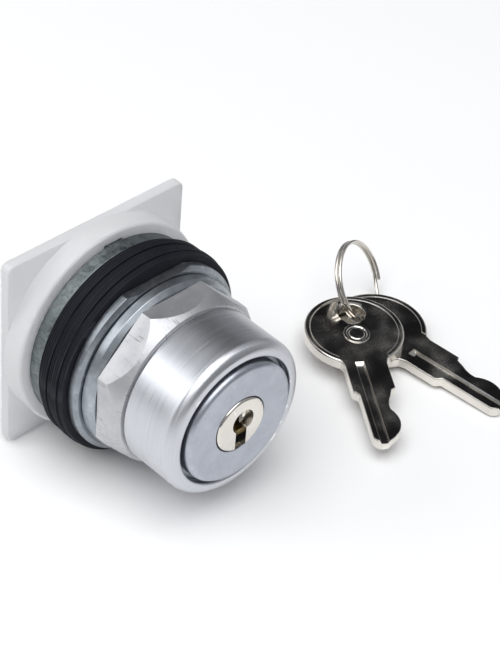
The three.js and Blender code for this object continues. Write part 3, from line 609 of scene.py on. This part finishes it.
def lock_ring():
    """Ring with a sloped front edge, between the washer and the nut."""
    radius, front, rear = turned_size("lock_ring")
    outline = rounded([
        (BARREL_CLEARANCE_R, front, 0.15), (LOCK_RING_FRONT_R, front, 0.25),
        (radius, front + LOCK_RING_SLOPE, 0.3), (radius, rear, 0.3),
        (BARREL_CLEARANCE_R, rear, BORE_EDGE)], 6)
    finish_piece(turned("turned_lock_ring", outline), LIGHT_ZINC, OPERATOR, "washer_grey", "lock_ring")


def ring_nut():
    """Octagonal nut with flats at the top, bottom and sides, turned to a cone at the front."""
    half_flats, front, rear = turned_size("ring_nut")
    corner = half_flats / math.cos(math.pi / 8)
    angles = [math.radians(22.5 + 45 * i) for i in range(8)]
    octagon = [(corner * math.cos(angle), corner * math.sin(angle)) for angle in angles]
    nut = prism("cast_ring_nut", octagon, front - PAST / 2, rear)
    cone = turned("cone", [
        (0, front), (NUT_FRONT_R, front), (corner + NUT_CONE_SPARE, NUT_CONE_REAR),
        (corner + NUT_CONE_SPARE, rear + PAST), (0, rear + PAST)])
    combine(nut, [cone], "INTERSECT")
    soften(nut, 0.14, 3, 18)
    combine(nut, [round_bar("bore", BARREL_CLEARANCE_R, front - PAST, rear + PAST)])
    finish_piece(nut, CAST, OPERATOR, "cast_aluminium", "ring_nut")


# ---------- barrel ----------
BARREL_R = 15.0
BARREL_BORE_R = 11.1
BARREL_CHAMFER = 0.8
CHAMBER_FRONT = -16
RECESS_R = 14.9  # recess for the plunger guide
RECESS_FRONT = 5.8
FLANGE_FRONT = 4.3
FLANGE_EDGE = 0.2
THREAD_PITCH = 1.5
THREAD_DEPTH = 0.6
THREAD_END = 0.0
THREAD_RUNOUT = 0.2
THREAD_ROW = 0.15  # from one row of points to the next


def threaded_barrel():
    """The barrel with its outside thread cut as one long helix."""
    flange_r, front, flange_rear = turned_size("threaded_barrel")
    root_r = BARREL_R - THREAD_DEPTH
    rows = int((THREAD_END - front - BARREL_CHAMFER) / THREAD_ROW)
    wall = [(BARREL_R, front + BARREL_CHAMFER + THREAD_ROW * row) for row in range(rows)]
    outline = [
        (BARREL_BORE_R, front), (BARREL_R - BARREL_CHAMFER, front), *wall,
        (root_r, THREAD_END + THREAD_RUNOUT), (root_r, FLANGE_FRONT), (flange_r - FLANGE_EDGE, FLANGE_FRONT),
        (flange_r, FLANGE_FRONT + FLANGE_EDGE), (flange_r, flange_rear), (RECESS_R, flange_rear),
        (RECESS_R, RECESS_FRONT), (CHAMBER_R, RECESS_FRONT), (CHAMBER_R, CHAMBER_FRONT),
        (BARREL_BORE_R, CHAMBER_FRONT),
    ]

    def warp(r, y, angle):
        if abs(r - BARREL_R) > 1e-6:
            return r, y
        phase = (y / THREAD_PITCH + angle / (2 * math.pi)) % 1
        return r - THREAD_DEPTH * abs(2 * phase - 1), y

    piece = turned("zinc_barrel", outline, MEDIUM, warp)
    finish_piece(piece, GREY_ZINC, OPERATOR, "grey_zinc", "threaded_barrel")


# ---------- shroud and lock ----------
SHROUD_LIP_R = 14.15
SHROUD_LIP_ROUNDING = 0.6
SHROUD_OUTER_ROUNDING = 2.34
SHROUD_MOUTH_REAR = -31.3
SHROUD_SPIGOT_R = 16.7  # narrower end that reaches back to the nut
SHROUD_SPIGOT_REAR = -19.65
SHELL_BORE_R = 6.25
SHELL_BODY_R = 10.8
SHELL_BORE_SINK = 0.04  # how far the bore's edge lies behind the disc's rim
DISC_REAR = -31.15
DISC_ROUNDING = 1.2
BROACH_REACH = 7.1  # from the axis to the ends of the broached slots
BROACH_HALF = 2.8
BROACH_FRONT = -32.95


def shroud():
    """Sleeve with a rounded lip and a narrower end against the nut."""
    radius, front, rear = turned_size("shroud")
    outline = rounded([
        (SHROUD_LIP_R, front, SHROUD_LIP_ROUNDING), (radius, front, SHROUD_OUTER_ROUNDING),
        (radius, rear, 0.25), (SHROUD_SPIGOT_R, rear, 0.05), (SHROUD_SPIGOT_R, SHROUD_SPIGOT_REAR, 0.1),
        (BARREL_CLEARANCE_R, SHROUD_SPIGOT_REAR, 0.1), (BARREL_CLEARANCE_R, SHROUD_MOUTH_REAR, 0),
        (SHROUD_LIP_R, SHROUD_MOUTH_REAR, 0.1)], 12)
    piece = turned("brushed_shroud", outline, FINEST)
    finish_piece(piece, BRUSHED, OPERATOR, "brushed_aluminium", "shroud")


def lock_shell():
    """Face disc with the lock's body behind it, and two broached slots for the wafers."""
    radius, front, rear = turned_size("lock_shell")
    outline = rounded([
        (SHELL_BORE_R, front + SHELL_BORE_SINK, 0.12), (radius, front, DISC_ROUNDING),
        (radius, DISC_REAR, 0.1), (SHELL_BODY_R, DISC_REAR, 0.1), (SHELL_BODY_R, rear, 0.3),
        (SHELL_BORE_R, rear, 0)], 12)
    shell = turned("satin_lock_shell", outline, FINEST)
    length = (BROACH_FRONT, rear + PAST)
    reach, width = (-BROACH_REACH, BROACH_REACH), (-BROACH_HALF, BROACH_HALF)
    combine(shell, [block("slot", width, length, reach), block("slot_2", reach, length, width)])
    finish_piece(shell, SATIN, OPERATOR, "satin_grey", "lock_shell")


PLUG_ROUNDING = 0.6
CLIP_GROOVE_R = 5.1  # groove that holds the plug's clip
CLIP_GROOVE_FRONT = -10.6
CLIP_GROOVE_REAR = -9.7
KEYWAY_HALF = 1.375
KEYWAY_TOP = 2.9
KEYWAY_REAR = -15.9
SINK_R = 2.6  # round sink that guides the key's tip
SINK_FLOOR_R = 2.2
SINK_DEPTH = 2.2
SINK_X = 0.35
SINK_Z = 0.75
WAFER_SLOT_X = (-2.65, 2.65)
WAFER_SLOT_GAP = 0.15
POCKET_X = (2.1, 4.5)  # pocket for a wafer's spring
POCKET_Z = (-4, 2.2)
POCKET_GAP = 0.25
SCREW_BORE_R = 1.25  # bore for the tailpiece's screw
SCREW_BORE_FRONT = -15


def lock_plug():
    """Nickel plug with its keyway, the sink that guides the key, and the wafers' slots."""
    radius, front, rear = turned_size("lock_plug")
    outline = rounded([
        (0, front, 0), (radius, front, PLUG_ROUNDING), (radius, CLIP_GROOVE_FRONT, 0),
        (CLIP_GROOVE_R, CLIP_GROOVE_FRONT, 0), (CLIP_GROOVE_R, CLIP_GROOVE_REAR, 0),
        (radius, CLIP_GROOVE_REAR, 0), (radius, rear, 0.2), (0, rear, 0)], 6)
    plug = turned("nickel_plug", outline)
    keyway_y, keyway_z = (front - PAST, KEYWAY_REAR), (-radius - PAST, KEYWAY_TOP)
    keyway = block("keyway", (-KEYWAY_HALF, KEYWAY_HALF), keyway_y, keyway_z)
    sink_floor = front + SINK_DEPTH
    sink = turned("sink", [
        (0, front - PAST / 2), (SINK_R + 0.2, front - PAST / 2), (SINK_R, front + 0.25),
        (SINK_FLOOR_R + 0.25, sink_floor - 0.3), (SINK_FLOOR_R, sink_floor - 0.05), (0, sink_floor)], MEDIUM)
    sink.data.transform(Matrix.Translation((SINK_X * MM, 0, SINK_Z * MM)))
    combine(plug, [keyway, sink])
    soften(plug, 0.07, 2, 40)
    cutters = []
    for node in WAFER_NODES:
        low, high = limits(node)
        slot_y = (low.y - WAFER_SLOT_GAP, high.y + WAFER_SLOT_GAP)
        cutters.append(block("slot", WAFER_SLOT_X, slot_y, (-radius - PAST, radius + PAST)))
        pocket_y = (low.y - POCKET_GAP, high.y + POCKET_GAP)
        cutters.append(block("pocket", POCKET_X, pocket_y, POCKET_Z))
    cutters.append(round_bar("screw_hole", SCREW_BORE_R, SCREW_BORE_FRONT, rear + PAST, SMALL))
    combine(plug, cutters)
    finish_piece(plug, NICKEL, "plug", "nickel", "lock_plug")


# ---------- keys ----------
# u runs from the bow's middle to the tip, v to the side of the cuts.
KEY_THICK = 2.5
KEY_BOW_R = 10.6
KEY_HOLE_R = 2.85
KEY_HOLE_U = -5
KEY_HOLE_V = 0.5
KEY_HOLE_STEPS = 48
KEY_NECK = 1.1  # from the bow's edge to the straight sides behind it
KEY_STOP_U = 17.8
KEY_TIP_U = 33.4
KEY_LEFT_V = -4.4
KEY_RIGHT_V = 4.75
KEY_BLADE_V = KEY_LEFT_V + 1.2  # left side beyond the stop
KEY_VALLEY_V = KEY_RIGHT_V - 2.45  # deepest of the cuts
KEY_HUMP_START_U = KEY_STOP_U + 6.3
KEY_HUMP_END_U = KEY_TIP_U - 2.6
KEY_HUMP = 1.1
KEY_HUMP_RISE = 0.3  # from its start to its end
KEY_DISH = 0.08  # how far the bow's field and the blade lie below the bow's rim
KEY_DISH_R = 9.3
KEY_RAISED = 0.12  # how far the badge stands above the rim
KEY_EDGE = 0.42
GROOVE_START = 9.7
GROOVE_RUN_IN = 1.4
GROOVE_WIDTH = 1.35
GROOVE_DEPTH = 0.55
GROOVE_SLOPE = 0.55  # how far its walls lean outwards
GROOVE_V = (-1.1, 1.2)  # on the upper and the lower face
BADGE_R = 2.8
BADGE_RIM = 0.55
BADGE_U = 1.4
BADGE_V = 0.2
KEY_TILT = math.radians(2.4)
KEY_PLANE = (0, -50, -23.05)  # a point of the tilted plane that the keys lie on
KEY_POSES = {"key_1": (51.6, 34.6, 2.82, -122.4), "key_2": (58.8, 34.2, 0, -82.8)}  # x, y, height, heading


def key_outline():
    """Outline of a key lying flat."""
    right = math.degrees(math.asin(KEY_RIGHT_V / KEY_BOW_R))
    left = math.degrees(math.asin(KEY_LEFT_V / KEY_BOW_R))
    bow = arc_points((0, 0), KEY_BOW_R, right + 2.5, left + 357.5, 120)
    root_right = KEY_BOW_R * math.cos(math.radians(right))
    root_left = KEY_BOW_R * math.cos(math.radians(left))
    blade, valley = KEY_BLADE_V, KEY_VALLEY_V
    left_side = [
        (root_left + KEY_NECK, KEY_LEFT_V), (KEY_STOP_U + 0.5, KEY_LEFT_V),
        (KEY_STOP_U + 0.8, KEY_LEFT_V + 0.15), (KEY_STOP_U + 1.6, blade - 0.1), (KEY_STOP_U + 1.9, blade),
        (KEY_TIP_U - 1.8, blade), (KEY_TIP_U - 1.2, blade + 0.15), (KEY_TIP_U - 0.4, blade + 0.8),
        (KEY_TIP_U - 0.1, blade + 1.4), (KEY_TIP_U, blade + 2), (KEY_TIP_U - 0.1, blade + 3.1),
    ]
    top = (KEY_HUMP_END_U + KEY_HUMP_START_U) / 2
    reach = (KEY_HUMP_END_U - KEY_HUMP_START_U) / 2
    hump = []
    for step in range(11):
        along = 1 - step / 5
        slope = KEY_HUMP_RISE / 2 * (1 + along)
        hump.append((top + reach * along, valley + slope + KEY_HUMP * (1 - along * along)))
    cuts = [
        (KEY_TIP_U - 1.2, valley - 0.9), *hump, (KEY_STOP_U + 5.1, valley), (KEY_STOP_U + 3.7, valley + 0.35),
        (KEY_STOP_U + 2.5, valley + 0.9), (KEY_STOP_U + 0.8, KEY_RIGHT_V - 1),
        (KEY_STOP_U + 0.3, KEY_RIGHT_V), (root_right + KEY_NECK, KEY_RIGHT_V),
    ]
    return bow + left_side + cuts


def key_groove(name, v, floor, surface, rise):
    """Cutter for a milled groove: it runs in along an arc and out past the tip."""
    outside = surface + rise
    end = KEY_TIP_U + PAST
    ramp = []
    for step in range(9):
        share = step / 8
        depth = (floor - surface) * math.sin(share * math.pi / 2)
        ramp.append((GROOVE_START + GROOVE_RUN_IN * share, surface + depth))
    outline = [(GROOVE_START - 0.2, outside), *ramp, (end, floor), (end, outside)]
    cutter = prism(name, outline, v - GROOVE_WIDTH / 2, v + GROOVE_WIDTH / 2)
    for vertex in cutter.data.vertices:
        above = abs(vertex.co.z / MM - floor)
        vertex.co.y += math.copysign(GROOVE_SLOPE * above * MM, vertex.co.y - v * MM)
    return cutter


def flat_turned(name, outline, segments=MEDIUM):
    """A body turned about Z from (radius, z) points."""
    piece = turned(name, outline, segments)
    piece.data.transform(Matrix.Rotation(math.pi / 2, 4, "X"))
    return piece


def key(node):
    """Stamped key: rim round the bow, dished field, milled grooves and a plain round badge."""
    turn = 360 * (KEY_HOLE_STEPS - 1) / KEY_HOLE_STEPS
    hole = arc_points((KEY_HOLE_U, KEY_HOLE_V), KEY_HOLE_R, 0, turn, KEY_HOLE_STEPS - 1)
    blank = flat_outline_mesh(f"nickel_{node}", [key_outline(), hole], KEY_THICK, KEY_EDGE)
    top = KEY_THICK / 2
    field = top - KEY_DISH
    above = top + KEY_RAISED
    strip_u = (KEY_DISH_R - 2, KEY_TIP_U + PAST)
    strip_v = (KEY_LEFT_V - 0.6, KEY_RIGHT_V + 0.6)
    cutters = []
    for side in (1, -1):
        dish = rounded([(0, side * field, 0), (KEY_DISH_R, side * field, 0.6),
                        (KEY_DISH_R + 0.5, side * above, 0), (0, side * above, 0)], 5)
        cutters.append(flat_turned("dish", dish, FINE))
        strip_z = sorted((side * field, side * (top + PAST)))
        cutters.append(block("strip", strip_u, strip_v, strip_z))
    cutters.append(key_groove("groove", GROOVE_V[0], field - GROOVE_DEPTH, field, 1))
    cutters.append(key_groove("groove_2", GROOVE_V[1], GROOVE_DEPTH - field, -field, -1))
    combine(blank, cutters)
    inner = BADGE_R - BADGE_RIM
    badge = flat_turned("badge", rounded([
        (0, 0, 0), (BADGE_R, 0, 0), (BADGE_R, above, 0.12), (inner, above, 0.12),
        (inner - 0.2, field + 0.03, 0.05), (inner - 0.5, field + 0.03, 0.05),
        (inner - 0.7, top + 0.06, 0.12), (0, top + 0.1, 0)], 4))
    badge.data.transform(Matrix.Translation((BADGE_U * MM, BADGE_V * MM, 0)))
    combine(blank, [badge], "UNION")
    x, y, height, heading = KEY_POSES[node]
    place = Matrix.Translation(Vector((x, y, height + KEY_THICK / 2)) * MM)
    lie = place @ Matrix.Rotation(math.radians(heading), 4, "Z")
    plane = Matrix.Translation(Vector(KEY_PLANE) * MM) @ Matrix.Rotation(KEY_TILT, 4, "X")
    blank.data.transform(plane @ lie)
    finish_piece(blank, NICKEL, node, "nickel", node)


# ---------- split ring ----------
RING_R = 8.56
RING_WIRE = 0.82
RING_TURNS = 1.86
RING_START = math.radians(326.5)
RING_STEP = 0.07  # turns on either side of the middle in which the wire crosses over
RING_GAP = 0.06  # between the two turns
RING_END_EDGE = 0.12
RING_STATIONS = 300
RING_SIDES = 24
RING_PLACE = (62.36, -6.01, -15.01)
RING_LEAN = math.radians(-29.15)
RING_SWING = math.radians(25.77)


def smoothstep(value, low, high):
    share = min(1.0, max(0.0, (value - low) / (high - low)))
    return share * share * (3 - 2 * share)


def ring_point(turn):
    side = smoothstep(turn, RING_TURNS / 2 - RING_STEP, RING_TURNS / 2 + RING_STEP) - 0.5
    angle = 2 * math.pi * turn + RING_START
    return Vector((RING_R * math.cos(angle), side * (RING_WIRE + RING_GAP), RING_R * math.sin(angle)))


def split_ring():
    """Two turns of wire, a little flattened where they touch, with square-cut ends."""
    steps, sides = RING_STATIONS, RING_SIDES
    half_wide, half_thick = RING_WIRE / 2 - 0.02, RING_WIRE / 2 - 0.01
    points, faces = [], []
    for number in range(steps + 1):
        centre = ring_point(number / steps * RING_TURNS)
        outward = Vector((centre.x, 0, centre.z)).normalized()
        shrink = 1 - RING_END_EDGE / half_wide if number in (0, steps) else 1
        for side in range(sides):
            angle = 2 * math.pi * side / sides
            across = math.copysign(abs(math.sin(angle)) ** 0.8, math.sin(angle)) * half_thick * shrink
            out = math.cos(angle) * half_wide * shrink
            points.append(centre + outward * out + Vector((0, across, 0)))
    for number in range(steps):
        for side in range(sides):
            here, there = number * sides, (number + 1) * sides
            after = (side + 1) % sides
            faces.append((here + side, here + after, there + after, there + side))
    faces += [tuple(range(sides)), tuple(range(steps * sides, (steps + 1) * sides))]
    ring = build("nickel_split_ring", points, faces)
    turn = Matrix.Rotation(RING_SWING, 4, "Z") @ Matrix.Rotation(RING_LEAN, 4, "X")
    ring.data.transform(Matrix.Translation(Vector(RING_PLACE) * MM) @ turn)
    finish_piece(ring, WIRE, "key_set", "nickel_wire", "split_ring")


base_plate()
locating_ring()
for number, name in enumerate(GASKET_NODES):
    gasket(number, name)
thrust_washer()
lock_ring()
ring_nut()
threaded_barrel()
shroud()
lock_shell()
lock_plug()
key("key_1")
key("key_2")
split_ring()

# ---------- CAD nodes that stay as they are ----------
KEPT = {
    **{node: (STEEL, "steel") for node in SCREW_NODES},
    **{node: (BRASS, "brass") for node in WAFER_NODES},
    **{f"wafer_spring_{i + 1}": (STEEL, "steel") for i in range(5)},
    "lock_shell_nut": (BRASS, "brass"),
    "plug_clip": (STEEL, "steel"),
    "tailpiece": (STEEL, "steel"),
    "tailpiece_screw": (STEEL, "steel"),
    "operating_cam": (BLACK_NYLON, "black_nylon"),
    "plunger_guide": (BLACK_NYLON, "black_nylon"),
    "plunger_left": (WHITE_NYLON, "white_nylon"),
    "plunger_right": (WHITE_NYLON, "white_nylon"),
    "plunger_spring_left": (STEEL, "steel"),
    "plunger_spring_right": (STEEL, "steel"),
    "detent_ball": (STEEL, "steel"),
    "detent_spring": (STEEL, "steel"),
}
for node, (material, slot) in KEPT.items():
    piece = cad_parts[node]
    piece.data.materials.clear()
    piece.data.materials.append(material)

# ---------- floor, light and camera ----------
FLOOR_REACH = 3000
FLOOR_GAP = 0.02
floor_corners = [(-FLOOR_REACH, -FLOOR_REACH, 0), (FLOOR_REACH, -FLOOR_REACH, 0),
                 (FLOOR_REACH, FLOOR_REACH, 0), (-FLOOR_REACH, FLOOR_REACH, 0)]
floor = build("floor", floor_corners, [(0, 1, 2, 3)])
floor.data.transform(Matrix.Translation((0, 0, cad_low.z - FLOOR_GAP * MM)))
floor_look = Finish("pale_floor", Roughness=0.8)
floor_cloud = floor_look.noise(0.01, 2)
floor_look.set("Base Color", floor_look.blend(floor_cloud, (0.96, 0.96, 0.96), (0.97, 0.97, 0.97)))
floor.data.materials.append(floor_look.material)

DARK_SIDE = Vector((0.552, 0.49, 0.67)).normalized()  # the part of the room that flat tops mirror
DARK_CARD = (0.93, 0.982)  # cosines from DARK_SIDE between which the room turns dark
DARK_HORIZON = (0.02, 0.22)  # heights of a direction between which the dark horizon turns pale
ROOM_PALE = (0.86, 0.88, 0.92, 1)
ROOM_DARK = (0.03, 0.03, 0.035, 1)
ROOM_STRENGTH = 0.37
world = bpy.data.worlds.new("studio")
bpy.context.scene.world = world
world.use_nodes = True
sky = world.node_tree
sky.nodes.clear()
direction = sky.nodes.new("ShaderNodeTexCoord").outputs["Generated"]
towards = sky.nodes.new("ShaderNodeVectorMath")
towards.operation = "DOT_PRODUCT"
sky.links.new(direction, towards.inputs[0])
towards.inputs[1].default_value = DARK_SIDE
card = sky.nodes.new("ShaderNodeMapRange")
card.interpolation_type = "SMOOTHSTEP"
sky.links.new(towards.outputs["Value"], card.inputs["Value"])
card.inputs["From Min"].default_value, card.inputs["From Max"].default_value = DARK_CARD
height = sky.nodes.new("ShaderNodeSeparateXYZ")
sky.links.new(direction, height.inputs[0])
horizon = sky.nodes.new("ShaderNodeMapRange")
horizon.interpolation_type = "SMOOTHSTEP"
sky.links.new(height.outputs["Z"], horizon.inputs["Value"])
horizon.inputs["From Min"].default_value, horizon.inputs["From Max"].default_value = DARK_HORIZON
horizon.inputs["To Min"].default_value = 1.0
horizon.inputs["To Max"].default_value = 0.0
darkness = sky.nodes.new("ShaderNodeMath")
darkness.operation = "MAXIMUM"
sky.links.new(card.outputs[0], darkness.inputs[0])
sky.links.new(horizon.outputs[0], darkness.inputs[1])
tone = sky.nodes.new("ShaderNodeMix")
tone.data_type = "RGBA"
sky.links.new(darkness.outputs[0], tone.inputs["Factor"])
tone.inputs[6].default_value = ROOM_PALE
tone.inputs[7].default_value = ROOM_DARK
background = sky.nodes.new("ShaderNodeBackground")
sky.links.new(tone.outputs[2], background.inputs["Color"])
background.inputs["Strength"].default_value = ROOM_STRENGTH
surface = sky.nodes.new("ShaderNodeOutputWorld")
sky.links.new(background.outputs[0], surface.inputs["Surface"])


def softbox(name, towards, distance, size, watts):
    """A square area light that looks at the object from a direction."""
    light = bpy.data.lights.new(name, "AREA")
    light.shape = "SQUARE"
    light.size = size
    light.energy = watts
    holder = bpy.data.objects.new(name, light)
    bpy.context.scene.collection.objects.link(holder)
    centre = (cad_low + cad_high) / 2
    away = Vector(towards).normalized()
    holder.location = centre + away * distance
    holder.rotation_mode = "QUATERNION"
    holder.rotation_quaternion = (-away).to_track_quat("-Z", "Y")


softbox("top_box", towards=(-0.25, -0.15, 0.95), distance=1.5, size=1.6, watts=22.5)
softbox("left_box", towards=(-0.65, 0.52, 0.55), distance=0.6, size=0.28, watts=0.6)

CAMERA_PLACE = (-243.26, -265.63, 308.63)
CAMERA_AZIMUTH = math.radians(-46.479)
CAMERA_ELEVATION = math.radians(40.408)
CAMERA_ROLL = math.radians(-4.862)
FOCAL_PIXELS = 2400
PICTURE_HEIGHT = 667
SENSOR = 36

back = Vector((
    math.sin(CAMERA_AZIMUTH) * math.cos(CAMERA_ELEVATION),
    -math.cos(CAMERA_AZIMUTH) * math.cos(CAMERA_ELEVATION),
    math.sin(CAMERA_ELEVATION),
))
right = Vector((math.cos(CAMERA_AZIMUTH), math.sin(CAMERA_AZIMUTH), 0))
up = back.cross(right)
level = Matrix((right, up, back)).transposed()
camera = bpy.data.objects.new("camera", bpy.data.cameras.new("camera"))
camera.data.sensor_width = SENSOR
camera.data.lens = FOCAL_PIXELS * SENSOR / PICTURE_HEIGHT
camera.data.clip_start = 0.01
camera.data.clip_end = 20
camera.matrix_world = (
    Matrix.Translation(Vector(CAMERA_PLACE) * MM) @ level.to_4x4() @ Matrix.Rotation(-CAMERA_ROLL, 4, "Z")
)
bpy.context.scene.collection.objects.link(camera)
bpy.context.scene.camera = camera
bpy.context.scene.view_settings.view_transform = "Standard"
